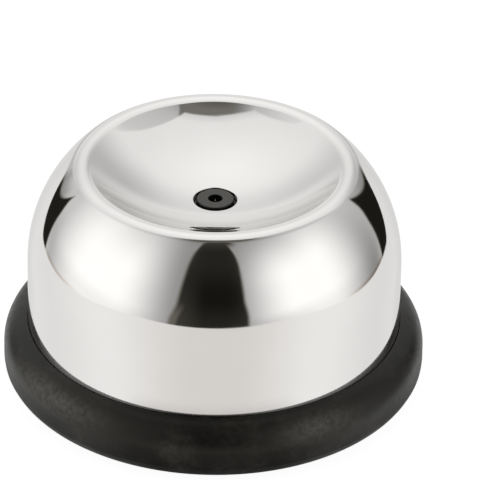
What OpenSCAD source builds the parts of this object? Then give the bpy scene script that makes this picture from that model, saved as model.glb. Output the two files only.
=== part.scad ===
// Egg piercer: a polished steel dome with an egg dish, on a rubber foot ring.
// A sprung plunger in the middle of the dish hides a fixed needle, and pressing an egg
// into the dish pushes the plunger down past the needle's tip.
// Millimetres, +Z up, origin on the table under the middle of the dish.

/* [Steel shell] */
// Outer radius of the straight steel wall
shell_r = 26.6; // [25.6:0.1:28]
// Height of the rolled crest above the table
shell_top_z = 34; // [32:0.5:38]
// Thickness of the drawn steel sheet
shell_t = 0.8; // [0.5:0.1:1]
// Radius of the circle on which the crest is highest
crest_r = 18.8; // [17:0.1:20]
// Outside rounding of the rolled crest
crest_round = 2.1; // [1.5:0.1:2.8]
// Outside rounding of the dome's shoulder
shoulder_round = 20.9; // [17:0.1:24]
// Depth of the middle of the egg dish below the crest
dish_depth = 6; // [5:0.1:7]
// Height of the turned-in lip's underside above the table
lip_z = 4; // [3.6:0.1:4.6]
// Width of the turned-in lip
lip_w = 3.2; // [2.8:0.1:4]

/* [Rubber foot ring] */
// Width of the ring outside the steel wall
ring_w = 3.4; // [2.4:0.1:5.4]
// Height at which the rubber meets the steel wall
ring_top_z = 8.9; // [8.4:0.05:10]
// Rounding of the ring's upper flank
ring_top_round = 4.3; // [4:0.1:5]
// Rounding of the ring's lower outer edge
ring_foot_round = 3; // [2:0.1:3.4]
// Width of the shelf under the shell's lip
ring_shelf_w = 2; // [1.6:0.1:2.4]

/* [Base plate] */
// Height of the plate's underside above the table
base_lift = 1.2; // [0.8:0.1:1.5]
// Thickness of the plate
base_t = 2; // [1.6:0.1:2.2]
// Width of the tongue that holds the rubber ring
tongue_w = 1; // [0.7:0.1:1.3]
// Thickness of that tongue
tongue_t = 1.2; // [0.8:0.1:1.5]
// Width of the plate's rim under the shell's lip
rim_w = 2; // [1.6:0.1:2.6]
// Height of the screw pads above the plate
screw_pad_h = 1; // [0.6:0.1:1.4]
// Height of the middle boss above the plate
boss_h = 5.4; // [4.6:0.1:6.4]
// Thickness of the stiffening ribs on the plate
base_rib_t = 1.4; // [1:0.1:2]
// Height of the stiffening ribs above the plate
base_rib_h = 1; // [0.6:0.1:1.4]

/* [Screws] */
// Number of screws that hold the base plate
screw_count = 3; // [3:1:4]
// Radius of the circle that the base screws stand on
screw_circle_r = 15; // [13.5:0.1:16.5]
// Radius of a screw's shank
screw_r = 1.1; // [0.9:0.05:1.3]
// Radius of a screw's head
screw_head_r = 2.2; // [1.9:0.1:2.6]
// Height of a screw's head
screw_head_h = 1.2; // [0.9:0.1:1.4]
// Length of a base screw under its head
screw_length = 9; // [7:0.5:11]
// Length of the needle holder's screw under its head
holder_screw_length = 4.4; // [3.6:0.1:5]
// Length of a slot in a screw's cross recess
recess_len = 2.6; // [2:0.1:3.2]
// Width of a slot in a screw's cross recess
recess_w = 0.6; // [0.4:0.1:0.8]
// Depth of the cross recess
recess_depth = 0.7; // [0.4:0.1:0.8]
// Wall of plastic round a screw
screw_wall = 1.8; // [1.4:0.1:2.4]

/* [Inner frame] */
// Width of the frame's foot ring on the shell's lip
frame_foot_w = 3; // [2.4:0.1:4]
// Height of the frame's foot ring
frame_foot_h = 2.2; // [1.6:0.1:3]
// Thickness of the ribs that carry the dish
rib_t = 1.8; // [1.4:0.1:2.4]
// Width of the window in a rib
rib_window_w = 5; // [3:0.5:6]
// Width of the rib outside its window
rib_edge_w = 1.25; // [1:0.05:2]
// Wall of the hub round the guide sleeve
hub_wall = 1.8; // [1.4:0.1:2.2]
// Height of the hub
hub_h = 9; // [7:0.5:11]

/* [Guide sleeve] */
// Wall of the sleeve
sleeve_wall = 1.5; // [1.2:0.1:2]
// Thickness of the sleeve's end under the dish, at its middle
sleeve_end_t = 1.4; // [1.1:0.1:2]
// Thickness of the collar that stands on the hub
collar_t = 1.4; // [1:0.1:2]
// Length of the sleeve inside the hub
sleeve_seat = 7; // [5:0.5:8]

/* [Plunger] */
// Radius of the button in the dish
plunger_r = 2.65; // [2.4:0.05:3.2]
// Height of the button above the edge of its hole
plunger_proud = 0.18; // [0.1:0.02:1]
// Rounding of the button's upper edge
plunger_round = 0.24; // [0.1:0.02:0.6]
// Radius of the hole for the needle
plunger_hole_r = 1; // [0.8:0.05:1.3]
// Width of the flange that stops under the sleeve's end
flange_w = 1.8; // [1.5:0.1:2.2]
// Thickness of the flange
flange_t = 1.5; // [1.2:0.1:2]
// Length of the spigot that centres the spring
spigot_len = 1.5; // [1:0.1:2]
// Travel from rest to fully pressed
press_travel = 2; // [1.5:0.1:3]

/* [Needle and holder] */
// Radius of the needle
needle_r = 0.45; // [0.35:0.05:0.6]
// Length of the needle's point
needle_point_len = 2.4; // [1.6:0.1:4]
// Depth of the needle's tip below the button at rest
needle_recess = 0.15; // [0.1:0.05:0.3]
// Depth of the needle in its holder
needle_seat = 9; // [6:0.5:10]
// Radius of the holder's column
holder_r = 2.2; // [1.8:0.1:2.6]
// Radius of the holder's shoulder on the washer
holder_shoulder_r = 2.9; // [2.7:0.05:3]
// Height of that shoulder
holder_shoulder_h = 1.2; // [0.8:0.1:2]
// Thickness of the plate under the holder
socket_floor = 3; // [2.6:0.1:3.4]

/* [Return spring] */
// Radius of the spring to the middle of its wire
spring_r = 3.75; // [3.65:0.05:3.85]
// Radius of the spring's wire
wire_r = 0.35; // [0.25:0.05:0.4]
// Number of turns
spring_turns = 8; // [6:1:9]
// Thickness of the washer under the spring
washer_t = 0.5; // [0.3:0.1:0.8]

/* [Clearances] */
// Gap between pieces that are pressed or screwed together
fit_gap = 0.03; // [0.01:0.01:0.06]
// Gap between the frame and the steel shell
frame_gap = 0.12; // [0.05:0.01:0.2]
// Running gap of the plunger in its sleeve
run_gap = 0.08; // [0.04:0.01:0.1]
// Gap round the button in the dish's hole
hole_gap = 0.45; // [0.12:0.01:0.6]
// Gap between the spring and the spigot inside it
spring_gap = 0.4; // [0.2:0.05:0.6]
// Gap left at the plunger's two stops
stop_gap = 0.15; // [0.1:0.01:0.3]
// Gap that lets the screws draw the plate tight
draw_gap = 0.2; // [0.1:0.05:0.4]

/* [Hidden] */
// Facets of round surfaces in the preview
$fn = 96;
// Overshoot of cutting shapes
cut = 1;

// Shell: the shoulder's arc is tangent to the wall and to the crest's rounding,
// and the dish is a sphere tangent to the crest's rounding
shell_inner_r = shell_r - shell_t;
lip_top_z = lip_z + shell_t;
lip_inner_r = shell_r - lip_w;
crest_mid = [crest_r, shell_top_z - crest_round];
shoulder_mid_r = shell_r - shoulder_round;
shoulder_rise = sqrt(pow(shoulder_round - crest_round, 2) - pow(crest_r - shoulder_mid_r, 2));
shoulder_mid = [shoulder_mid_r, crest_mid[1] - shoulder_rise];
dish_z = shell_top_z - dish_depth;
dish_fall = crest_mid[1] - dish_z;
dish_r = (crest_r * crest_r + dish_fall * dish_fall - crest_round * crest_round) / (2 * dish_depth);
dish_mid = [0, dish_z + dish_r];
dish_to_crest = (crest_mid - dish_mid) / norm(crest_mid - dish_mid);
hole_r = plunger_r + hole_gap;
hole_rim_z = dish_mid[1] - sqrt(dish_r * dish_r - hole_r * hole_r);

// Rubber ring
ring_r = shell_r + ring_w;
ring_inner_r = shell_r - ring_shelf_w;
ring_top_mid_r = ring_r - ring_top_round;
ring_top_mid_z = ring_top_z - sqrt(pow(ring_top_round, 2) - pow(shell_r - ring_top_mid_r, 2));

// Base plate and its screws
base_r = ring_inner_r - fit_gap;
base_top_z = base_lift + base_t;
pad_top_z = base_top_z + screw_pad_h;
boss_top_z = base_top_z + boss_h;
screw_hole_r = screw_r + fit_gap;
counterbore_r = screw_head_r + draw_gap;
counterbore_depth = screw_head_h + fit_gap;
head_seat_z = base_lift + counterbore_depth;
pad_r = counterbore_r + screw_wall;
screw_tip_z = head_seat_z + screw_length;

// Plunger at rest, from its button down to its spring spigot
plunger_top_z = hole_rim_z + plunger_proud;
sleeve_stop_z = dish_z - shell_t - frame_gap - sleeve_end_t;
flange_r = plunger_r + flange_w;
flange_top_z = sleeve_stop_z - stop_gap;
flange_low_z = flange_top_z - flange_t;
spigot_r = spring_r - wire_r - spring_gap;
spigot_low_z = flange_low_z - spigot_len;

// Guide sleeve and the frame's hub
chamber_r = flange_r + run_gap;
sleeve_r = chamber_r + sleeve_wall;
hub_bore_r = sleeve_r + fit_gap;
hub_r = hub_bore_r + hub_wall;
hub_top_z = lip_top_z + hub_h;
frame_r = shell_inner_r - frame_gap;
rib_count = 2 * screw_count;
frame_boss_r = screw_hole_r + screw_wall;
boss_low_z = pad_top_z + draw_gap;

// Needle, its holder and the spring on its washer
washer_r = chamber_r - draw_gap;
washer_top_z = boss_top_z + washer_t;
holder_low_z = base_lift + socket_floor;
holder_top_z = spigot_low_z - press_travel - stop_gap;
needle_low_z = holder_top_z - needle_seat;
needle_tip_z = plunger_top_z - needle_recess;
spring_low_z = washer_top_z + fit_gap;
spring_top_z = flange_low_z - stop_gap;

// Cross-section of the dome, filled, with its skin moved inwards by inset
module dome_section(inset, low_z) {
    dish_edge = crest_mid - (crest_round - inset) * dish_to_crest;
    sweep_end = shoulder_mid + 2 * (crest_mid - shoulder_mid);
    difference() {
        union() {
            translate([0, low_z]) square([shell_r - inset, shoulder_mid[1] - low_z]);
            intersection() {
                translate(shoulder_mid) circle(shoulder_round - inset);
                polygon([shoulder_mid, shoulder_mid + [2 * shoulder_round, 0], sweep_end]);
            }
            translate(crest_mid) circle(crest_round - inset);
            polygon([[0, shoulder_mid[1]], shoulder_mid, crest_mid, dish_edge, [0, dish_edge[1]]]);
        }
        translate(dish_mid) circle(dish_r + inset);
    }
}

// Ring of rectangular section
module tube(inner_r, outer_r, low_z, top_z) {
    translate([0, 0, low_z])
        difference() {
            cylinder(h = top_z - low_z, r = outer_r);
            translate([0, 0, -cut]) cylinder(h = top_z - low_z + 2 * cut, r = inner_r);
        }
}

// Upright round bar
module bar(r, low_z, top_z) {
    translate([0, 0, low_z]) cylinder(h = top_z - low_z, r = r);
}

// Copies of a shape at the base screws, turned by part of a step
module at_screws(part_of_step = 0) {
    for (i = [0 : screw_count - 1])
        rotate([0, 0, 90 + (i + part_of_step) * 360 / screw_count]) children();
}

// Pan-head screw, head down, with its head's bearing face at seat_z
module screw(seat_z, length) {
    difference() {
        union() {
            bar(screw_head_r, seat_z - screw_head_h, seat_z);
            bar(screw_r, seat_z - screw_head_h, seat_z + length);
        }
        for (turn = [0, 90])
            rotate([0, 0, turn])
                translate([-recess_len / 2, -recess_w / 2, seat_z - screw_head_h - cut])
                    cube([recess_len, recess_w, recess_depth + cut]);
    }
}

module steel_shell() {
    color("gainsboro")
        rotate_extrude()
            difference() {
                dome_section(0, lip_z);
                dome_section(shell_t, lip_top_z);
                translate([0, lip_z - cut]) square([lip_inner_r, shell_t + 2 * cut]);
                square([hole_r, shell_top_z]);
            }
}

module foot_ring() {
    groove_low_z = base_lift - fit_gap;
    groove_h = tongue_t + 2 * fit_gap;
    foot_mid_r = ring_r - ring_foot_round;
    color("dimgray")
        rotate_extrude()
            difference() {
                union() {
                    intersection() {
                        translate([ring_top_mid_r, ring_top_mid_z]) circle(ring_top_round);
                        translate([ring_inner_r, ring_top_mid_z]) square([ring_r, ring_top_round]);
                    }
                    translate([ring_inner_r, ring_foot_round])
                        square([ring_r - ring_inner_r, ring_top_mid_z - ring_foot_round]);
                    intersection() {
                        translate([foot_mid_r, ring_foot_round]) circle(ring_foot_round);
                        translate([foot_mid_r, 0]) square(ring_foot_round);
                    }
                    translate([ring_inner_r, 0]) square([foot_mid_r - ring_inner_r, ring_top_mid_z]);
                }
                translate([0, lip_z]) square([shell_r + fit_gap, ring_top_z]);
                translate([0, groove_low_z]) square([base_r + tongue_w + fit_gap, groove_h]);
            }
}

module base_plate() {
    socket_r = holder_r + fit_gap;
    color("#222222")
        difference() {
            union() {
                bar(base_r, base_lift, base_top_z);
                bar(base_r + tongue_w, base_lift, base_lift + tongue_t);
                tube(base_r - rim_w, base_r, base_lift, lip_z);
                bar(washer_r, base_lift, boss_top_z);
                at_screws() translate([screw_circle_r, 0, 0]) bar(pad_r, base_lift, pad_top_z);
                at_screws(0.5)
                    translate([0, -base_rib_t / 2, base_lift])
                        cube([lip_inner_r - draw_gap, base_rib_t, base_t + base_rib_h]);
            }
            bar(socket_r, holder_low_z, boss_top_z + cut);
            bar(screw_hole_r, 0, boss_top_z);
            bar(counterbore_r, 0, head_seat_z);
            at_screws() translate([screw_circle_r, 0, 0]) {
                bar(screw_hole_r, 0, boss_top_z);
                bar(counterbore_r, 0, head_seat_z);
            }
        }
}

module base_screws() {
    color("silver")
        at_screws() translate([screw_circle_r, 0, 0]) screw(head_seat_z, screw_length);
}

// Upright rib that fills the shell from the hub to the middle of the foot ring, with a window in it
module frame_rib() {
    rib_inner_r = hub_bore_r + hub_wall / 2;
    rib_outer_r = frame_r - frame_foot_w / 2;
    rib_low_z = max(lip_top_z, boss_low_z) + draw_gap;
    window_low_z = lip_top_z + frame_foot_h + rib_t;
    window_r = rib_outer_r - rib_edge_w - rib_window_w / 2;
    rotate([90, 0, 0])
        linear_extrude(rib_t, center = true)
            difference() {
                intersection() {
                    dome_section(shell_t + frame_gap, lip_top_z);
                    translate([rib_inner_r, rib_low_z]) square([rib_outer_r - rib_inner_r, shell_top_z]);
                }
                translate([window_r, window_low_z + rib_window_w / 2]) circle(rib_window_w / 2);
            }
}

module inner_frame() {
    color("#303030")
        difference() {
            union() {
                tube(frame_r - frame_foot_w, frame_r, lip_top_z, lip_top_z + frame_foot_h);
                tube(hub_bore_r, hub_r, lip_top_z, hub_top_z);
                for (i = [0 : rib_count - 1]) rotate([0, 0, 90 + i * 360 / rib_count]) frame_rib();
                at_screws()
                    translate([screw_circle_r, 0, 0])
                        bar(frame_boss_r, boss_low_z, screw_tip_z + screw_wall);
            }
            at_screws() translate([screw_circle_r, 0, 0]) bar(screw_hole_r, 0, screw_tip_z + draw_gap);
            bar(hub_bore_r, 0, hub_top_z);
            bar(hub_r + run_gap, hub_top_z, shell_top_z);
        }
}

module guide_sleeve() {
    color("#3a3a3a")
        rotate_extrude()
            difference() {
                union() {
                    translate([0, hub_top_z - sleeve_seat]) square([sleeve_r, shell_top_z]);
                    translate([0, hub_top_z]) square([hub_r, collar_t]);
                }
                translate(dish_mid) circle(dish_r + shell_t + frame_gap);
                translate([0, hub_top_z - sleeve_seat - cut])
                    square([chamber_r, sleeve_stop_z - hub_top_z + sleeve_seat + cut]);
                square([plunger_r + run_gap, shell_top_z]);
            }
}

module plunger() {
    round_z = plunger_top_z - plunger_round;
    color("#262626")
        rotate_extrude()
            difference() {
                union() {
                    translate([0, flange_low_z]) square([plunger_r, round_z - flange_low_z]);
                    translate([0, flange_low_z])
                        square([plunger_r - plunger_round, plunger_top_z - flange_low_z]);
                    translate([plunger_r - plunger_round, round_z]) circle(plunger_round);
                    translate([0, flange_low_z]) square([flange_r, flange_t]);
                    translate([0, spigot_low_z]) square([spigot_r, spigot_len]);
                }
                square([plunger_hole_r, shell_top_z]);
            }
}

// Spring: a tube swept along a helix with a short upright tail at each end
function coil_point(turn, z) = [spring_r * cos(360 * turn), spring_r * sin(360 * turn), z];

module return_spring() {
    rings_per_turn = 8;
    sides = 6;
    tail = 2 * wire_r;
    steps = spring_turns * rings_per_turn;
    coil_h = spring_top_z - spring_low_z - 2 * tail;
    path = concat(
        [coil_point(0, spring_low_z)],
        [for (i = [0 : steps]) coil_point(i / rings_per_turn, spring_low_z + tail + coil_h * i / steps)],
        [coil_point(spring_turns, spring_top_z)]
    );
    last = len(path) - 1;
    turn_at = [for (i = [0 : last]) min(max(i - 1, 0), steps) / rings_per_turn];
    points = [
        for (i = [0 : last])
            let (
                ahead = path[min(i + 1, last)] - path[i],
                behind = path[i] - path[max(i - 1, 0)],
                run_ahead = ahead / max(norm(ahead), wire_r),
                run_behind = behind / max(norm(behind), wire_r),
                along = (run_ahead + run_behind) / norm(run_ahead + run_behind),
                outward = [cos(360 * turn_at[i]), sin(360 * turn_at[i]), 0],
                sideways = cross(along, outward)
            )
            for (k = [0 : sides - 1])
                path[i] + wire_r * (cos(360 * k / sides) * outward + sin(360 * k / sides) * sideways)
    ];
    skin = [
        for (i = [0 : last - 1])
            for (k = [0 : sides - 1])
                let (
                    a = i * sides + k,
                    b = i * sides + (k + 1) % sides
                )
                each [[a, b + sides, b], [a, a + sides, b + sides]]
    ];
    low_cap = [for (k = [1 : sides - 2]) [0, k, k + 1]];
    top_cap = [for (k = [1 : sides - 2]) [0, k + 1, k] + [last, last, last] * sides];
    self_gap = min([
        for (i = [0 : last])
            for (j = [i + rings_per_turn / 2 : 1 : last])
                norm(path[i] - path[j]) - 2 * wire_r
    ]);
    echo(spring_self_gap = self_gap);
    color("lightsteelblue") polyhedron(points, concat(skin, low_cap, top_cap));
}

module spring_washer() {
    color("silver") tube(holder_r + fit_gap, washer_r, boss_top_z, washer_top_z);
}

module needle() {
    point_z = needle_tip_z - needle_point_len;
    color("lightgray")
        union() {
            bar(needle_r, needle_low_z, point_z);
            translate([0, 0, point_z]) cylinder(h = needle_point_len, r1 = needle_r, r2 = 0);
        }
}

module needle_holder() {
    screw_bore_top_z = head_seat_z + holder_screw_length + draw_gap;
    color("goldenrod")
        difference() {
            union() {
                bar(holder_r, holder_low_z, holder_top_z);
                bar(holder_shoulder_r, washer_top_z, washer_top_z + holder_shoulder_h);
            }
            bar(needle_r + fit_gap, needle_low_z, holder_top_z + cut);
            bar(screw_hole_r, 0, screw_bore_top_z);
        }
}

module holder_screw() {
    color("silver") screw(head_seat_z, holder_screw_length);
}

steel_shell();
foot_ring();
base_plate();
base_screws();
inner_frame();
guide_sleeve();
plunger();
return_spring();
spring_washer();
needle();
needle_holder();
holder_screw();
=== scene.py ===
# Egg piercer: a polished steel dome with an egg dish and a sprung button, on a rubber foot ring
import math

import bmesh
import bpy
from mathutils import Matrix, Vector


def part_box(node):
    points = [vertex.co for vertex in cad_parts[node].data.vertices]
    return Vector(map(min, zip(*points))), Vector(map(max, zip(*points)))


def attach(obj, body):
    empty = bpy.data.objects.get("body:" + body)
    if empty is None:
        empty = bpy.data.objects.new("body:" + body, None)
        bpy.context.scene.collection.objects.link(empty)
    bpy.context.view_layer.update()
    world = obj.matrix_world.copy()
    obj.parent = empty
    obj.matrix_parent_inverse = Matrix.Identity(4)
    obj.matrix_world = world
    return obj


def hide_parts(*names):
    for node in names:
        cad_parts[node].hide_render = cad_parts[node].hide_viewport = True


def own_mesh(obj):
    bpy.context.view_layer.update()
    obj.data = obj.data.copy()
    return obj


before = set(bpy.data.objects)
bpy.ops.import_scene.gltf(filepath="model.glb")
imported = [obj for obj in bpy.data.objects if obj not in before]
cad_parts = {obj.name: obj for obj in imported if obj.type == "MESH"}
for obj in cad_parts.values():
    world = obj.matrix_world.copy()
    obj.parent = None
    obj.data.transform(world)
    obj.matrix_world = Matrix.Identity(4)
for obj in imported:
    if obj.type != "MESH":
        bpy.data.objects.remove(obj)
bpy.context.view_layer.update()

# Sizes in metres: places come from the frame, and the rest are the part's own driving sizes
MM = 0.001
shell_low, shell_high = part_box("steel_shell")
ring_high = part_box("foot_ring")[1]
plunger_low, plunger_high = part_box("plunger")
spring_low, spring_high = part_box("return_spring")

SHELL_R = shell_high.x
SHELL_TOP = shell_high.z
LIP_Z = shell_low.z
SHELL_T = 0.8 * MM
LIP_W = 3.2 * MM
CREST_R = 18.8 * MM
CREST_ROUND = 2.1 * MM
SHOULDER_ROUND = 20.9 * MM
DISH_DEPTH = 6 * MM
HOLE_R = 3.1 * MM
HOLE_EDGE_ROUND = 0.12 * MM
LIP_BEND = 1.1 * MM

RING_R = ring_high.x
RING_INNER_R = 24.6 * MM
RING_TOP = 8.9 * MM
RING_TOP_ROUND = 4.3 * MM
RING_FOOT_ROUND = 3 * MM
RING_LIP_ROUND = 0.12 * MM
RING_INNER_EDGE = 0.3 * MM
RING_FIT = 0.03 * MM
GROOVE_W = 1.03 * MM
GROOVE_LOW = 1.17 * MM
GROOVE_TOP = 2.43 * MM
PARTING_Z = 2.1 * MM
PARTING_W = 0.26 * MM
PARTING_H = 0.035 * MM

PLUNGER_R = 2.65 * MM
PLUNGER_ROUND = 0.24 * MM
PLUNGER_TOP = plunger_high.z
FLANGE_R = plunger_high.x
FLANGE_T = 1.5 * MM
SPIGOT_R = 3 * MM
SPIGOT_LEN = 1.5 * MM
NEEDLE_HOLE_R = 1 * MM
NEEDLE_HOLE_ROUND = 0.12 * MM
MOULD_EDGE = 0.15 * MM

WIRE_R = 0.35 * MM
SPRING_R = 3.75 * MM
SPRING_TURNS = 8
END_TURN_GAP = 0.042 * MM
END_TURN_RISE = 2 * WIRE_R + END_TURN_GAP

# Fineness of the modelled surfaces
SEGMENTS = 192
ARC_STEP = math.radians(1.5)
SHARP_TURN = math.radians(24)
SAME_POINT = 0.0001 * MM
WALL_ROWS = 12
FLANK_ROWS = 3
WIRE_SIDES = 14
STEPS_PER_TURN = 40

# Angles, and the brightness of the whole studio
QUARTER = math.pi / 2
DEGREES = 180 / math.pi
STUDIO_LEVEL = 0.85


# Outlines in the (radius, height) plane
def arc(mid, radius, start, end):
    """Points on a circle from one angle to another, in radians."""
    steps = max(2, math.ceil(abs(end - start) / ARC_STEP))
    angles = [start + (end - start) * i / steps for i in range(steps + 1)]
    return [(mid[0] + radius * math.cos(a), mid[1] + radius * math.sin(a)) for a in angles]


def line(start, end, pieces):
    """Points on a straight run, without its end."""
    return [
        (start[0] + (end[0] - start[0]) * i / pieces, start[1] + (end[1] - start[1]) * i / pieces)
        for i in range(pieces)
    ]


def rounded(corners):
    """Closed outline through (radius, height, rounding) corners, rounded by tangent arcs."""
    outline = []
    for i, (r, z, rounding) in enumerate(corners):
        here = Vector((r, z))
        to_last = (Vector(corners[i - 1][:2]) - here).normalized()
        to_next = (Vector(corners[(i + 1) % len(corners)][:2]) - here).normalized()
        if rounding == 0:
            outline.append((r, z))
            continue
        half = to_last.angle(to_next) / 2
        mid = here + (to_last + to_next).normalized() * rounding / math.sin(half)
        first = here + to_last * rounding / math.tan(half) - mid
        last = here + to_next * rounding / math.tan(half) - mid
        start = math.atan2(first.y, first.x)
        sweep = (math.atan2(last.y, last.x) - start + math.pi) % (2 * math.pi) - math.pi
        outline += arc(mid, rounding, start, start + sweep)
    return outline


def without_doubles(outline):
    """The outline without points that lie on their neighbour."""
    return [p for i, p in enumerate(outline) if math.dist(p, outline[i - 1]) > SAME_POINT]


# Meshes
def finished_object(name, mesh, body, node, material):
    """The piece that stands for a node of the frame and rides on its body."""
    piece = bpy.data.objects.new(name, mesh)
    bpy.context.scene.collection.objects.link(piece)
    mesh.materials.append(material)
    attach(piece, body)
    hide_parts(node)
    return piece


def full_turn(steps):
    """Angles of evenly spaced steps round a circle."""
    return [2 * math.pi * k / steps for k in range(steps)]


def skin(bm, low, high):
    """Smooth faces between two rings of as many points."""
    for k in range(len(low)):
        m = (k + 1) % len(low)
        bm.faces.new((low[k], low[m], high[m], high[k])).smooth = True


def sharpen(bm, ring):
    """Keeps the edge along a ring of points sharp."""
    for k in range(len(ring)):
        bm.edges.get((ring[k], ring[(k + 1) % len(ring)])).smooth = False


def finished_mesh(name, bm):
    """Mesh of the faces built so far, with their normals outward."""
    mesh = bpy.data.meshes.new(name)
    bmesh.ops.recalc_face_normals(bm, faces=bm.faces)
    bm.to_mesh(mesh)
    bm.free()
    return mesh


def lathe(name, outline):
    """Mesh of a closed outline turned about the Z axis, with its corners kept sharp."""
    outline = without_doubles(outline)
    count = len(outline)
    bm = bmesh.new()
    rings = []
    for r, z in outline:
        rings.append([bm.verts.new((r * math.cos(a), r * math.sin(a), z)) for a in full_turn(SEGMENTS)])
    for i in range(count):
        skin(bm, rings[i], rings[(i + 1) % count])
    for i in range(count):
        before = Vector(outline[i]) - Vector(outline[i - 1])
        after = Vector(outline[(i + 1) % count]) - Vector(outline[i])
        if before.angle(after) > SHARP_TURN:
            sharpen(bm, rings[i])
    return finished_mesh(name, bm)


def sweep_tube(name, path, radius, sides):
    """Mesh of a round wire along a path about the Z axis, closed at both ends."""
    bm = bmesh.new()
    rings = []
    for i, point in enumerate(path):
        along = (path[min(i + 1, len(path) - 1)] - path[max(i - 1, 0)]).normalized()
        outward = Vector((point.x, point.y, 0)).normalized()
        outward = (outward - along * outward.dot(along)).normalized()
        sideways = along.cross(outward)
        spokes = [math.cos(a) * outward + math.sin(a) * sideways for a in full_turn(sides)]
        rings.append([bm.verts.new(point + radius * spoke) for spoke in spokes])
    for low, high in zip(rings, rings[1:]):
        skin(bm, low, high)
    for end in (rings[0], rings[-1]):
        bm.faces.new(end)
        sharpen(bm, end)
    return finished_mesh(name, bm)


# Node trees
class Graph:
    """Builds a node tree. Its methods take sockets or plain values and return output sockets."""

    def __init__(self, tree):
        self.tree = tree
        tree.nodes.clear()

    def node(self, kind, **settings):
        """A new node, itself, with its settings."""
        made = self.tree.nodes.new(kind)
        for key, value in settings.items():
            setattr(made, key, value)
        return made

    def put(self, socket, value):
        if isinstance(value, bpy.types.NodeSocket):
            self.tree.links.new(value, socket)
        else:
            socket.default_value = value

    def put_all(self, sockets, values):
        for socket, value in zip(sockets, values):
            self.put(socket, value)

    def fill(self, made, **inputs):
        """First output of a node whose inputs are given by name, with _ for a space."""
        for name, value in inputs.items():
            self.put(made.inputs[name.replace("_", " ")], value)
        return made.outputs[0]

    def math(self, operation, first, *others):
        """One operation, carried on from each value to the next where there are more than two."""
        if len(others) > 1:
            first = self.math(operation, first, *others[:-1])
        made = self.node("ShaderNodeMath", operation=operation)
        self.put_all(made.inputs, (first, *others[-1:]))
        return made.outputs[0]

    def plus(self, *values):
        return self.math("ADD", *values)

    def minus(self, *values):
        return self.math("SUBTRACT", *values)

    def product(self, *values):
        return self.math("MULTIPLY", *values)

    def highest(self, *values):
        return self.math("MAXIMUM", *values)

    def lowest(self, *values):
        return self.math("MINIMUM", *values)

    def clamp(self, value, low, high):
        return self.lowest(self.highest(value, low), high)

    def away(self, value, middle):
        """How far a value is from a middle one."""
        return self.math("ABSOLUTE", self.minus(value, middle))

    def length(self, across, up):
        return self.math("SQRT", self.plus(self.product(across, across), self.product(up, up)))

    def turn(self, x, y):
        """Angle round the Z axis in degrees: 0 is towards the camera, and it grows to the right."""
        return self.product(self.math("ARCTAN2", x, self.product(y, -1.0)), DEGREES)

    def fade(self, value, start, end, low=0.0, high=1.0):
        """Smooth step from low at start to high at end."""
        made = self.node("ShaderNodeMapRange", interpolation_type="SMOOTHSTEP")
        return self.fill(made, Value=value, From_Min=start, From_Max=end, To_Min=low, To_Max=high)

    def over(self, under, top, share):
        """The value under, covered by top as far as share says."""
        made = self.node("ShaderNodeMix", data_type="FLOAT")
        self.put_all(made.inputs[:1] + made.inputs[2:4], (share, under, top))
        return made.outputs[0]

    def tint(self, share, first, second):
        """Mix of two colours, from the first at 0 to the second at 1."""
        made = self.node("ShaderNodeMix", data_type="RGBA")
        colours = [(*value, 1) if isinstance(value, tuple) else value for value in (first, second)]
        self.put_all(made.inputs[:1] + made.inputs[6:8], (share, *colours))
        return made.outputs[2]

    def mix_shaders(self, share, first, second):
        """Mix of two shaders, from the first at 0 to the second at 1."""
        made = self.node("ShaderNodeMixShader")
        self.put_all(made.inputs, (share, first, second))
        return made.outputs[0]

    def place(self):
        return self.node("ShaderNodeTexCoord").outputs["Object"]

    def parts(self, vector):
        made = self.node("ShaderNodeSeparateXYZ")
        self.put(made.inputs[0], vector)
        return made.outputs[0], made.outputs[1], made.outputs[2]

    def join(self, x, y, z):
        return self.fill(self.node("ShaderNodeCombineXYZ"), X=x, Y=y, Z=z)

    def noise(self, vector, size, detail=2.0, roughness=0.5):
        """Noise whose blobs are about as large as size, in metres."""
        made = self.node("ShaderNodeTexNoise")
        return self.fill(made, Vector=vector, Scale=1 / size, Detail=detail, Roughness=roughness)

    def round_lines(self, place, size, around):
        """Noise drawn out round the Z axis, as turning or polishing leaves it."""
        x, y, z = self.parts(place)
        turn = self.product(self.math("ARCTAN2", y, x), around)
        return self.noise(self.join(turn, self.length(x, y), z), size, detail=3.0)

    def bump(self, height, depth, strength=1.0, under=None):
        """Normal of a relief of the given depth, laid over another one where under is given."""
        made = self.node("ShaderNodeBump")
        if under is not None:
            self.put(made.inputs["Normal"], under)
        return self.fill(made, Height=height, Distance=depth, Strength=strength)

    def surface(self, **inputs):
        """Ends a material with a shader whose inputs are given by name."""
        shader = self.fill(self.node("ShaderNodeBsdfPrincipled"), **inputs)
        self.put(self.node("ShaderNodeOutputMaterial").inputs[0], shader)


def new_material(name):
    material = bpy.data.materials.new(name)
    material.use_nodes = True
    return material, Graph(material.node_tree)


# Materials
def polished_steel():
    """Mirror-polished steel with a faint haze, a slight ripple and fine polishing lines."""
    material, g = new_material("polished_steel")
    place = g.place()
    haze = g.noise(place, size=9 * MM, detail=3.0)
    lines = g.round_lines(place, size=0.35 * MM, around=0.4 * MM)
    ripple = g.bump(g.noise(place, size=12 * MM, detail=1.0), depth=0.006 * MM)
    g.surface(
        Base_Color=g.tint(haze, (0.829, 0.818, 0.8), (0.794, 0.782, 0.765)),
        Metallic=1.0,
        Roughness=g.fade(haze, 0.35, 0.7, low=0.03, high=0.065),
        Normal=g.bump(lines, depth=0.0012 * MM, strength=0.5, under=ripple),
    )
    return material


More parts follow.
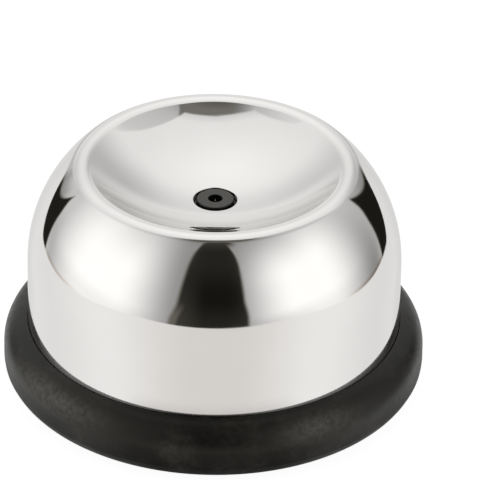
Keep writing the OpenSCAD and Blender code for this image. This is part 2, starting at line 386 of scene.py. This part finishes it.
def black_rubber():
    """Matt black rubber with a mottled dusty haze, and a painted highlight of the softboxes' sheen in
    two bands along the ring's shoulder.
    """
    material, g = new_material("black_rubber")
    place = g.place()
    x, y, z = g.parts(place)
    cloud = g.noise(place, size=7 * MM, detail=4.0, roughness=0.6)
    speck = g.noise(place, size=0.8 * MM, detail=4.0, roughness=0.65)
    grain = g.noise(place, size=0.16 * MM)
    swell = g.bump(cloud, depth=0.12 * MM, strength=0.4)
    bloom_and_highlight = g.fade(cloud, 0.42, 0.72, high=0.3)

    # Each painted highlight band has its middle and half width round the ring, in degrees, and its
    # strength
    highlight_streaks = ((-52, 30, 1.0), (30, 17, 0.8))
    highlight_reach = 3.2 * MM
    shoulder_r = RING_R - 0.6 * MM
    shoulder_z = RING_TOP - 2.1 * MM
    off_shoulder = g.length(g.minus(g.length(x, y), shoulder_r), g.minus(z, shoulder_z))
    highlight_patches = g.product(g.fade(off_shoulder, highlight_reach, 0), g.fade(cloud, 0.2, 0.55, low=0.6))
    for middle, half_width, strength in highlight_streaks:
        along = g.fade(g.away(g.turn(x, y), middle), half_width, 0, high=strength)
        bloom_and_highlight = g.highest(bloom_and_highlight, g.product(along, highlight_patches))

    # The dusty haze together with the painted highlight bands, broken up by specks
    dust_and_highlight = g.product(bloom_and_highlight, g.fade(speck, 0.3, 0.72, low=0.3))
    g.surface(
        Base_Color=g.tint(dust_and_highlight, (0.007, 0.0068, 0.0059), (0.088, 0.086, 0.075)),
        Roughness=g.fade(speck, 0.3, 0.7, low=0.29, high=0.41),
        Specular_IOR_Level=0.255,
        Specular_Tint=(1.0, 0.97, 0.88, 1.0),
        Normal=g.bump(grain, depth=0.02 * MM, strength=0.6, under=swell),
    )
    return material


def button_plastic():
    """Black plastic whose flat top is painted a paler grey in clouds, a painted highlight of the light
    it catches from above.
    """
    material, g = new_material("button_plastic")
    place = g.place()
    height = g.parts(place)[2]
    cloud = g.noise(place, size=1.6 * MM, detail=3.0, roughness=0.55)
    grain = g.noise(place, size=0.12 * MM)
    # Painted highlight: the flat top turns paler grey, standing in for the light it catches from above
    flat_top = g.fade(height, PLUNGER_TOP - 0.08 * MM, PLUNGER_TOP - 0.01 * MM)
    lighter_tone = g.product(flat_top, g.fade(cloud, 0.2, 0.8, low=0.7))
    g.surface(
        Base_Color=g.tint(lighter_tone, (0.0047, 0.0047, 0.0043), (0.096, 0.094, 0.085)),
        Roughness=g.fade(cloud, 0.3, 0.7, low=0.36, high=0.5),
        Specular_IOR_Level=0.235,
        Normal=g.bump(grain, depth=0.012 * MM, strength=0.5),
    )
    return material


def moulded_plastic(name, colour, lighter_tone, roughness, grain_size):
    """Plastic with a fine moulded grain and paler clouds."""
    material, g = new_material(name)
    place = g.place()
    cloud = g.noise(place, size=5 * MM, detail=3.0, roughness=0.55)
    grain = g.noise(place, grain_size)
    g.surface(
        Base_Color=g.tint(g.fade(cloud, 0.35, 0.75), colour, lighter_tone),
        Roughness=g.fade(cloud, 0.3, 0.7, low=roughness - 0.06, high=roughness + 0.08),
        Specular_IOR_Level=0.5,
        Normal=g.bump(grain, depth=0.012 * MM, strength=0.5),
    )
    return material


def turned_metal(name, colour, darker, roughness):
    """Metal with fine lines round the Z axis and darker clouds."""
    material, g = new_material(name)
    place = g.place()
    lines = g.round_lines(place, size=0.12 * MM, around=0.1 * MM)
    cloud = g.noise(place, size=3 * MM, detail=3.0)
    g.surface(
        Base_Color=g.tint(g.fade(cloud, 0.3, 0.75), colour, darker),
        Metallic=1.0,
        Roughness=g.fade(lines, 0.3, 0.7, low=roughness - 0.05, high=roughness + 0.08),
        Normal=g.bump(lines, depth=0.006 * MM, strength=0.6),
    )
    return material


# The modelled pieces
def steel_shell():
    """Drawn shell: wall, shoulder, rolled crest, dish with its hole, and a lip turned in below."""
    crest = Vector((CREST_R, SHELL_TOP - CREST_ROUND))
    shoulder_r = SHELL_R - SHOULDER_ROUND
    rise = math.sqrt((SHOULDER_ROUND - CREST_ROUND) ** 2 - (CREST_R - shoulder_r) ** 2)
    shoulder = Vector((shoulder_r, crest.y - rise))
    dish_z = SHELL_TOP - DISH_DEPTH
    dish_r = (CREST_R**2 + (crest.y - dish_z) ** 2 - CREST_ROUND**2) / (2 * DISH_DEPTH)
    dish = Vector((0, dish_z + dish_r))
    to_crest = (crest - dish).normalized()
    lean = math.atan2(crest.y - shoulder.y, crest.x - shoulder.x)
    roll_end = math.atan2(-to_crest.y, -to_crest.x) % (2 * math.pi)
    slope_top = math.atan2(to_crest.y, to_crest.x)

    # The hole's edges are rounded by arcs tangent to the dish and to the hole's wall
    edge_r = HOLE_R + HOLE_EDGE_ROUND
    top_mid = Vector((edge_r, dish.y - math.sqrt((dish_r + HOLE_EDGE_ROUND) ** 2 - edge_r**2)))
    under_r = dish_r + SHELL_T
    low_mid = Vector((edge_r, dish.y - math.sqrt((under_r - HOLE_EDGE_ROUND) ** 2 - edge_r**2)))
    top_turn = math.atan2(dish.y - top_mid.y, -top_mid.x)
    low_turn = math.atan2(low_mid.y - dish.y, low_mid.x)
    slope_hole = math.atan2(top_mid.y - dish.y, top_mid.x)

    wall_low = LIP_Z + LIP_BEND
    inner_r = SHELL_R - SHELL_T
    bend = Vector((SHELL_R - LIP_BEND, wall_low))
    bend_inner = LIP_BEND - SHELL_T
    outline = []
    outline += line((SHELL_R, wall_low), (SHELL_R, shoulder.y), WALL_ROWS)
    outline += arc(shoulder, SHOULDER_ROUND, 0, lean)
    outline += arc(crest, CREST_ROUND, lean, roll_end)
    outline += arc(dish, dish_r, slope_top, slope_hole)
    outline += arc(top_mid, HOLE_EDGE_ROUND, top_turn, math.pi)
    outline += arc(low_mid, HOLE_EDGE_ROUND, math.pi, 2 * math.pi + low_turn)
    outline += arc(dish, under_r, low_turn, slope_top)
    outline += arc(crest, CREST_ROUND - SHELL_T, roll_end, lean)
    outline += arc(shoulder, SHOULDER_ROUND - SHELL_T, lean, 0)
    outline += line((inner_r, shoulder.y), (inner_r, wall_low), WALL_ROWS)
    outline += arc(bend, bend_inner, 0, -QUARTER)
    outline += [(SHELL_R - LIP_W, LIP_Z + SHELL_T), (SHELL_R - LIP_W, LIP_Z)]
    outline += arc(bend, LIP_BEND, -QUARTER, 0)
    mesh = lathe("shell_polished", outline)
    finished_object("shell_polished", mesh, "housing", "steel_shell", polished_steel())


def foot_ring():
    """Rubber bead with a thin lip against the wall and a groove inside for the base plate's tongue."""
    wall_r = SHELL_R + RING_FIT
    top_mid_r = RING_R - RING_TOP_ROUND
    top_mid_z = RING_TOP - math.sqrt(RING_TOP_ROUND**2 - (SHELL_R - top_mid_r) ** 2)
    foot_mid = (RING_R - RING_FOOT_ROUND, RING_FOOT_ROUND)
    to_lip = RING_TOP_ROUND - RING_LIP_ROUND
    lip_angle = math.acos((wall_r + RING_LIP_ROUND - top_mid_r) / to_lip)
    lip_mid = (top_mid_r + to_lip * math.cos(lip_angle), top_mid_z + to_lip * math.sin(lip_angle))
    groove_r = RING_INNER_R + GROOVE_W
    inner_edge_mid = (RING_INNER_R + RING_INNER_EDGE, RING_INNER_EDGE)

    # The foot's arc carries the fine bead of the mould's parting line
    outline = []
    for r, z in arc(foot_mid, RING_FOOT_ROUND, -QUARTER, 0):
        out = (Vector((r, z)) - Vector(foot_mid)).normalized()
        bead = PARTING_H * math.exp(-(((z - PARTING_Z) / (PARTING_W / 2)) ** 2))
        outline.append((r + out.x * bead, z + out.y * bead))

    outline += line((RING_R, RING_FOOT_ROUND), (RING_R, top_mid_z), FLANK_ROWS)
    outline += arc((top_mid_r, top_mid_z), RING_TOP_ROUND, 0, lip_angle)
    outline += arc(lip_mid, RING_LIP_ROUND, lip_angle, math.pi)
    outline += [(wall_r, LIP_Z), (RING_INNER_R, LIP_Z)]
    outline += [(RING_INNER_R, GROOVE_TOP), (groove_r, GROOVE_TOP)]
    outline += [(groove_r, GROOVE_LOW), (RING_INNER_R, GROOVE_LOW)]
    outline += arc(inner_edge_mid, RING_INNER_EDGE, math.pi, math.pi + QUARTER)
    mesh = lathe("ring_rubber", outline)
    finished_object("ring_rubber", mesh, "housing", "foot_ring", black_rubber())


def plunger():
    """Button with a flange that stops it, a spigot for the spring and a hole for the needle."""
    flange_low = plunger_low.z + SPIGOT_LEN
    flange_top = flange_low + FLANGE_T
    corners = [
        (NEEDLE_HOLE_R, plunger_low.z, MOULD_EDGE),
        (SPIGOT_R, plunger_low.z, MOULD_EDGE),
        (SPIGOT_R, flange_low, 0),
        (FLANGE_R, flange_low, MOULD_EDGE),
        (FLANGE_R, flange_top, MOULD_EDGE),
        (PLUNGER_R, flange_top, 0),
        (PLUNGER_R, PLUNGER_TOP, PLUNGER_ROUND),
        (NEEDLE_HOLE_R, PLUNGER_TOP, NEEDLE_HOLE_ROUND),
    ]
    mesh = lathe("button_plunger", rounded(corners))
    finished_object("button_plunger", mesh, "button", "plunger", button_plastic())


def return_spring():
    """Compression spring whose first and last turns lie close, as wound springs end."""
    low, high = spring_low.z + WIRE_R, spring_high.z - WIRE_R
    open_turns = SPRING_TURNS - 2
    open_rise = (high - low - 2 * END_TURN_RISE) / open_turns
    path = []
    for i in range(SPRING_TURNS * STEPS_PER_TURN + 1):
        turn = i / STEPS_PER_TURN
        middle = min(max(turn - 1, 0), open_turns)
        z = low + END_TURN_RISE * (turn - middle) + open_rise * middle
        angle = 2 * math.pi * turn
        path.append(Vector((SPRING_R * math.cos(angle), SPRING_R * math.sin(angle), z)))
    mesh = sweep_tube("spring_coil", path, WIRE_R, WIRE_SIDES)
    material = turned_metal("spring_steel", (0.5, 0.49, 0.47), (0.38, 0.37, 0.35), roughness=0.3)
    piece = finished_object("spring_coil", mesh, "housing", "return_spring", material)
    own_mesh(piece)


steel_shell()
foot_ring()
plunger()
return_spring()


# The pieces that keep their own shape
def dress(node, material):
    """Gives a node of the frame its finish."""
    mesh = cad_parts[node].data
    mesh.materials.clear()
    mesh.materials.append(material)


base_plastic = moulded_plastic(
    "base_plastic", (0.014, 0.014, 0.0145), (0.024, 0.024, 0.024), roughness=0.5, grain_size=0.2 * MM
)
frame_plastic = moulded_plastic(
    "frame_plastic", (0.03, 0.03, 0.031), (0.045, 0.045, 0.045), roughness=0.55, grain_size=0.25 * MM
)
sleeve_plastic = moulded_plastic(
    "sleeve_plastic", (0.045, 0.045, 0.046), (0.06, 0.06, 0.06), roughness=0.4, grain_size=0.2 * MM
)
holder_brass = turned_metal("holder_brass", (0.78, 0.56, 0.26), (0.6, 0.4, 0.17), roughness=0.28)
needle_steel = turned_metal("needle_steel", (0.66, 0.66, 0.66), (0.52, 0.52, 0.51), roughness=0.16)
screw_steel = turned_metal("screw_steel", (0.6, 0.6, 0.59), (0.45, 0.45, 0.43), roughness=0.26)
washer_steel = turned_metal("washer_steel", (0.58, 0.57, 0.55), (0.44, 0.43, 0.41), roughness=0.3)

dress("base_plate", base_plastic)
dress("inner_frame", frame_plastic)
dress("guide_sleeve", sleeve_plastic)
dress("needle_holder", holder_brass)
dress("needle", needle_steel)
dress("base_screws", screw_steel)
dress("holder_screw", screw_steel)
dress("spring_washer", washer_steel)


# The studio, as brightness by direction round the object, with angles in degrees
class Sky(Graph):
    """Node tree of the world, with a ray's direction at hand as x and y and as angles."""

    def __init__(self, tree):
        super().__init__(tree)
        self.ray = self.node("ShaderNodeTexCoord").outputs["Generated"]
        self.x, self.y, z = self.parts(self.ray)
        self.azimuth = self.turn(self.x, self.y)
        self.spread = self.math("ABSOLUTE", self.azimuth)
        self.elevation = self.product(self.math("ARCSINE", z), DEGREES)
        self.on_right = self.fade(self.azimuth, -60, 60)


def walls(sky):
    """White walls, darker towards the front and near the table."""
    left = sky.fade(sky.azimuth, 0, -170, low=0.38)
    right = sky.fade(sky.azimuth, 0, 180, high=0.62)
    near_table = sky.fade(sky.elevation, 44, -26, high=0.63)
    shade = sky.product(near_table, sky.fade(sky.spread, 54, 117))
    return sky.product(sky.plus(left, right), sky.minus(1.0, shade))


def softboxes(sky, light):
    """A softbox at each side. The right one is dimmer low down towards the front."""
    left = sky.product(sky.fade(sky.azimuth, -21, -62), sky.fade(sky.azimuth, -134, -86))
    left = sky.product(left, sky.fade(sky.elevation, 77, 19))
    left_light = sky.fade(sky.elevation, -9, 3, low=1.28, high=1.48)
    right = sky.product(sky.fade(sky.azimuth, 7, 52), sky.fade(sky.azimuth, 113, 73.5))
    right = sky.product(right, sky.fade(sky.elevation, 64, 24))
    right_light = sky.fade(sky.elevation, -9, 3, low=1.28, high=1.46)
    front_dip = sky.product(sky.fade(sky.elevation, 4, -10, high=0.25), sky.fade(sky.azimuth, 68, 40))
    light = sky.over(light, left_light, left)
    return sky.over(light, sky.minus(right_light, front_dip), right)


def dark_room(sky, light):
    """Dark room above the softboxes, which reaches down to the opening in the middle."""
    wide_middle, throat_middle = 8.0, 3.5
    from_wide = sky.away(sky.azimuth, wide_middle)
    from_throat = sky.away(sky.azimuth, throat_middle)
    wide = sky.product(sky.fade(sky.elevation, 53.5, 78), sky.fade(from_wide, 84, 20.5))
    throat = sky.product(sky.fade(sky.elevation, 54, 60), sky.fade(from_throat, 22, 10))
    dark = sky.fade(sky.elevation, 50, 90, low=0.02, high=0.24)
    return sky.over(light, dark, sky.highest(wide, throat))


def opening(sky, light):
    """The dark opening that the camera looks through: a round top, and sides that spread at the foot."""
    round_from, round_height, roundness = 38.5, 24.2, 2.5
    lean_to, lean_slope = 45.0, 0.077
    narrowest = 0.01
    rise = sky.math("DIVIDE", sky.highest(sky.minus(sky.elevation, round_from), 0.0), round_height)
    width = sky.minus(1.0, sky.math("POWER", rise, roundness))
    across = sky.math("DIVIDE", sky.azimuth, sky.math("SQRT", sky.highest(width, narrowest)))
    lean = sky.product(sky.clamp(sky.elevation, 0.0, lean_to), lean_slope)
    left_side = sky.plus(sky.minus(across, lean), sky.fade(sky.elevation, 13, -7, high=3.6))
    right_side = sky.minus(across, sky.fade(sky.elevation, 16, 0, high=1.8))
    share = sky.product(sky.fade(left_side, -25, -21.2), sky.fade(right_side, 20.4, 17.2))
    share = sky.product(share, sky.fade(rise, 1.0, 0.8))

    # The inside is paler at the top, at the foot and along its sides, most of all at the left foot
    middle_glow = sky.fade(sky.elevation, 20, 48, low=0.011, high=0.025)
    foot_glow = sky.fade(sky.elevation, 16, -6, high=0.015)
    top_glow = sky.fade(sky.elevation, 52, 62, high=0.03)
    left_glow = sky.product(
        sky.fade(sky.azimuth, -4, -22, high=0.034), sky.fade(sky.elevation, 44, 4, low=0.25)
    )
    right_glow = sky.fade(sky.azimuth, 8, 20, high=0.008)
    corner_glow = sky.product(sky.fade(left_side, -17, -20, high=0.11), sky.fade(sky.elevation, 14, 0))
    inside = sky.plus(middle_glow, foot_glow, top_glow, left_glow, right_glow, corner_glow)
    return sky.over(light, inside, share)


def ceiling(sky, light):
    """Dark ceiling in front of the overhead sheet, with a clean end on the right."""
    share = sky.product(sky.fade(sky.x, 0.31, 0.29), sky.fade(sky.x, -0.36, -0.1))
    share = sky.product(share, sky.fade(sky.elevation, 66, 72))
    return sky.over(light, sky.fade(sky.y, -0.185, -0.125, low=0.14, high=0.225), share)


def sheet_glare(sky):
    """Brightness of the overhead sheet, highest behind the object."""
    height, turn = math.radians(57), math.radians(-173)
    brightest = (
        math.cos(height) * math.sin(turn),
        -math.cos(height) * math.cos(turn),
        math.sin(height),
    )
    towards = sky.node("ShaderNodeVectorMath", operation="DOT_PRODUCT")
    sky.put_all(towards.inputs, (sky.ray, brightest))
    off_brightest = sky.product(sky.math("ARCCOSINE", towards.outputs["Value"]), DEGREES)
    return sky.fade(off_brightest, 0, 40, low=1.28, high=1.08)


def overhead_sheet(sky, light, glare):
    """White sheet overhead with a front edge that is nearly straight, and slanting sides."""
    front_at, right_at, left_at = 0.061, 0.37, 0.405
    front_slope, right_slope, left_slope = 0.1, 1.2, 1.05
    slant = sky.product(sky.clamp(sky.x, -0.17, 0.0), front_slope)
    from_front = sky.plus(sky.minus(sky.y, slant), front_at)
    from_right = sky.plus(sky.minus(sky.y, sky.product(sky.x, right_slope)), right_at)
    from_left = sky.plus(sky.y, sky.product(sky.x, left_slope), left_at)
    from_edge = sky.lowest(from_front, from_right, from_left)
    sheet = sky.product(glare, sky.fade(from_front, 0, 0.1, low=0.85))
    share = sky.product(sky.fade(from_edge, -0.012, 0.012), sky.fade(sky.elevation, 20, 40))
    return sky.over(light, sheet, share)


def rear_wall(sky, light, glare):
    """Rear wall below the sheet, darker to the right, with a paler streak above the table."""
    wall_level, table_level = 0.97, 0.9
    right_shade = sky.product(sky.fade(sky.azimuth, 176, 154, high=0.31), sky.on_right)
    left_shade = sky.product(sky.fade(sky.azimuth, -176, -150, high=0.15), sky.minus(1.0, sky.on_right))
    wall = sky.minus(wall_level, right_shade, left_shade)
    foot = sky.fade(sky.spread, 177, 163, low=0.95, high=0.67)
    streak = sky.product(sky.fade(sky.elevation, 20, 11), sky.fade(sky.elevation, 1, 10))
    streak = sky.product(streak, sky.fade(sky.spread, 146, 158, high=0.14))
    rear = sky.over(foot, table_level, sky.fade(sky.elevation, -4, -20))
    rear = sky.plus(sky.over(rear, wall, sky.fade(sky.elevation, -2, 12)), streak)
    right_drop = sky.product(sky.fade(sky.azimuth, 146, 166, low=4, high=0), sky.on_right)
    rear = sky.over(rear, glare, sky.fade(sky.minus(sky.elevation, right_drop), 16, 42))
    return sky.over(light, rear, sky.fade(sky.spread, 114, 128))


def side_gap(sky, light, turn, front, rear, climb, rise, steepness, dark, shade):
    """Dark gap between a softbox and the rear wall, with a soft shade above it.

    Turn is the angle from the camera to the gap's side. The gap fades in over front and out over rear,
    and its upper edge climbs by rise over climb. Shade is a fade of turn to the shade's strength.
    """
    edge_drop, shade_reach, softness = 1.0, 12, 1.2
    foot_lean = sky.fade(sky.elevation, 12, 2, high=1.5)
    span = sky.product(sky.fade(sky.plus(turn, foot_lean), *front), sky.fade(turn, *rear))
    climbed = sky.fill(sky.node("ShaderNodeMapRange"), Value=turn, From_Min=climb[0], From_Max=climb[1])
    top = sky.minus(sky.product(sky.math("POWER", climbed, steepness), rise), edge_drop)
    below = sky.minus(top, sky.elevation)
    shading = sky.product(span, sky.fade(below, -shade_reach, 0, high=sky.fade(turn, *shade)))
    light = sky.product(light, sky.minus(1.0, shading))
    return sky.over(light, dark, sky.product(span, sky.fade(below, -softness, softness)))


def side_gaps(sky, light):
    """The gap on the right, and a lower one on the left."""
    light = side_gap(
        sky, light, turn=sky.azimuth, front=(122.4, 124.8), rear=(154.5, 145), climb=(150, 124),
        rise=19.5, steepness=1.62, dark=0.014, shade=(127, 139, 0.2, 0.45),
    )
    return side_gap(
        sky, light, turn=sky.product(sky.azimuth, -1.0), front=(125.2, 127.2), rear=(149, 142),
        climb=(146, 126), rise=15.5, steepness=3.2, dark=0.018, shade=(129, 135, 0.1, 0.45),
    )


def below_table_edge(sky):
    """How far a direction lies below the table's edge, which is lower at the sides than in front."""
    front_to_side = sky.fade(sky.spread, 35, 112, low=-6.9, high=-14.9)
    rear_rise = sky.fade(sky.spread, 130.5, 147, high=11)
    rear_drop = sky.fade(sky.spread, 147, 173, high=15)
    return sky.minus(sky.plus(front_to_side, rear_rise), rear_drop, sky.elevation)


def table(sky, light, below):
    """White table, brightest below the softboxes."""
    pool_middle, pool_reach = 66.5, 56.5
    pool = sky.fade(sky.away(sky.spread, pool_middle), pool_reach, 0, low=0.945, high=1.165)
    side_gain = sky.fade(sky.spread, 60, 130, high=0.09)
    side_gain = sky.product(side_gain, sky.fade(sky.azimuth, -60, 60, low=1, high=0.65))
    rear_loss = sky.fade(sky.spread, 140, 162, high=0.13)
    top = sky.minus(sky.plus(pool, side_gain), rear_loss)
    return sky.over(light, top, sky.fade(below, -1.0, 0.0))


def light_colour(sky, light, below):
    """White light with a brown rail above the table's edge at the sides, and a warm front and darks."""
    white, brown = (1, 1, 1), (0.62, 0.45, 0.33)
    warm_white, warm_dark = (1, 0.97, 0.955), (1, 0.95, 0.8)
    rail = sky.product(sky.fade(sky.spread, 82, 104), sky.fade(sky.spread, 127, 119))
    rail = sky.product(rail, sky.fade(below, -3, -1.2), sky.fade(below, 0, -1))
    rail = sky.product(rail, sky.fade(sky.azimuth, -60, 60, low=0.45, high=0.7))
    front_table = sky.product(sky.fade(sky.spread, 60, 20), sky.fade(below, -1, 1))
    colour = sky.tint(rail, white, brown)
    colour = sky.tint(front_table, colour, warm_white)
    return sky.tint(sky.fade(light, 0.4, 0.1), colour, warm_dark)


def studio():
    """World that lights the object. The camera itself sees plain white beyond the floor."""
    world = bpy.data.worlds.new("studio")
    bpy.context.scene.world = world
    world.use_nodes = True
    sky = Sky(world.node_tree)
    glare = sheet_glare(sky)
    below = below_table_edge(sky)
    light = walls(sky)
    light = softboxes(sky, light)
    light = dark_room(sky, light)
    light = opening(sky, light)
    light = ceiling(sky, light)
    light = overhead_sheet(sky, light, glare)
    light = rear_wall(sky, light, glare)
    light = side_gaps(sky, light)
    light = table(sky, light, below)

    seen = sky.node("ShaderNodeLightPath").outputs["Is Camera Ray"]
    colour = light_colour(sky, light, below)
    level = sky.product(light, STUDIO_LEVEL)
    lit = sky.fill(sky.node("ShaderNodeBackground"), Color=colour, Strength=level)
    plain = sky.fill(sky.node("ShaderNodeBackground"), Color=(1, 1, 1, 1))
    sky.put(sky.node("ShaderNodeOutputWorld").inputs[0], sky.mix_shaders(seen, lit, plain))


def stage_plane(name, half_size, z):
    """Square plane of the stage, and the node tree of its material."""
    mesh = bpy.data.meshes.new(name)
    corners = [(-half_size, -half_size, z), (half_size, -half_size, z)]
    corners += [(half_size, half_size, z), (-half_size, half_size, z)]
    mesh.from_pydata(corners, [], [(0, 1, 2, 3)])
    piece = bpy.data.objects.new(name, mesh)
    bpy.context.scene.collection.objects.link(piece)
    material, g = new_material(name + "_white")
    mesh.materials.append(material)
    return piece, g


def floor():
    """White floor. The steel mirrors the studio's table in its place."""
    piece, g = stage_plane("floor", half_size=3.0, z=0)
    g.surface(
        Base_Color=g.tint(g.noise(g.place(), size=0.2), (0.15, 0.15, 0.15), (0.17, 0.17, 0.17)),
        Roughness=0.9,
        Specular_IOR_Level=0.0,
        Emission_Color=(1, 1, 1, 1),
        Emission_Strength=0.94,
    )
    piece.visible_glossy = False


def painted_foot_shadow():
    """Painted shadow of the foot on the floor: a dim patch round the foot, wider at the front, which
    shows only in what the part mirrors.
    """
    front_reach, side_reach, ring_reach = 14 * MM, 5 * MM, 6 * MM
    piece, g = stage_plane("painted_foot_shadow", half_size=60 * MM, z=-0.02 * MM)
    x, y = g.parts(g.place())[:2]
    radius = g.length(x, y)
    off_front = g.math("ABSOLUTE", g.turn(x, y))
    # The painted shadow reaches further out in front of the ring than at its sides
    front_shadow = g.product(g.fade(radius, RING_R + front_reach, RING_R), g.fade(off_front, 40, 24))
    shadow_share = g.highest(front_shadow, g.fade(radius, RING_R + side_reach, RING_R))
    at_ring = g.fade(off_front, 8, 40, low=0.9, high=0.56)
    shadow_share = g.product(shadow_share, g.fade(radius, RING_R, RING_R + ring_reach, low=at_ring))
    clear = g.node("ShaderNodeBsdfTransparent").outputs[0]
    dim = g.fill(g.node("ShaderNodeEmission"), Strength=0.0425)
    g.put(g.node("ShaderNodeOutputMaterial").inputs[0], g.mix_shaders(shadow_share, clear, dim))
    piece.visible_camera = False
    piece.visible_diffuse = False
    piece.visible_shadow = False


def camera():
    """Long lens at the photograph's height, with the small turns of its framing."""
    elevation = math.radians(32.33)
    distance = 0.867
    aim_height = 15 * MM
    pan, tilt, roll = math.radians(0.238), math.radians(0.359), math.radians(0.714)
    data = bpy.data.cameras.new("camera")
    data.sensor_width = 36
    data.lens = 456.15
    data.clip_start = 0.05
    data.clip_end = 20
    piece = bpy.data.objects.new("camera", data)
    bpy.context.scene.collection.objects.link(piece)
    height = distance * math.sin(elevation) + aim_height
    place = Matrix.Translation((0, -distance * math.cos(elevation), height))
    turns = Matrix.Rotation(QUARTER - elevation, 4, "X") @ Matrix.Rotation(-pan, 4, "Y")
    turns = turns @ Matrix.Rotation(tilt, 4, "X") @ Matrix.Rotation(roll, 4, "Z")
    piece.matrix_world = place @ turns
    bpy.context.scene.camera = piece


studio()
floor()
painted_foot_shadow()
camera()

# The dish mirrors itself many times, so light is followed through many reflections
REFLECTIONS = 20
bpy.context.scene.cycles.max_bounces = REFLECTIONS
bpy.context.scene.cycles.glossy_bounces = REFLECTIONS
bpy.context.scene.view_settings.view_transform = "Standard"
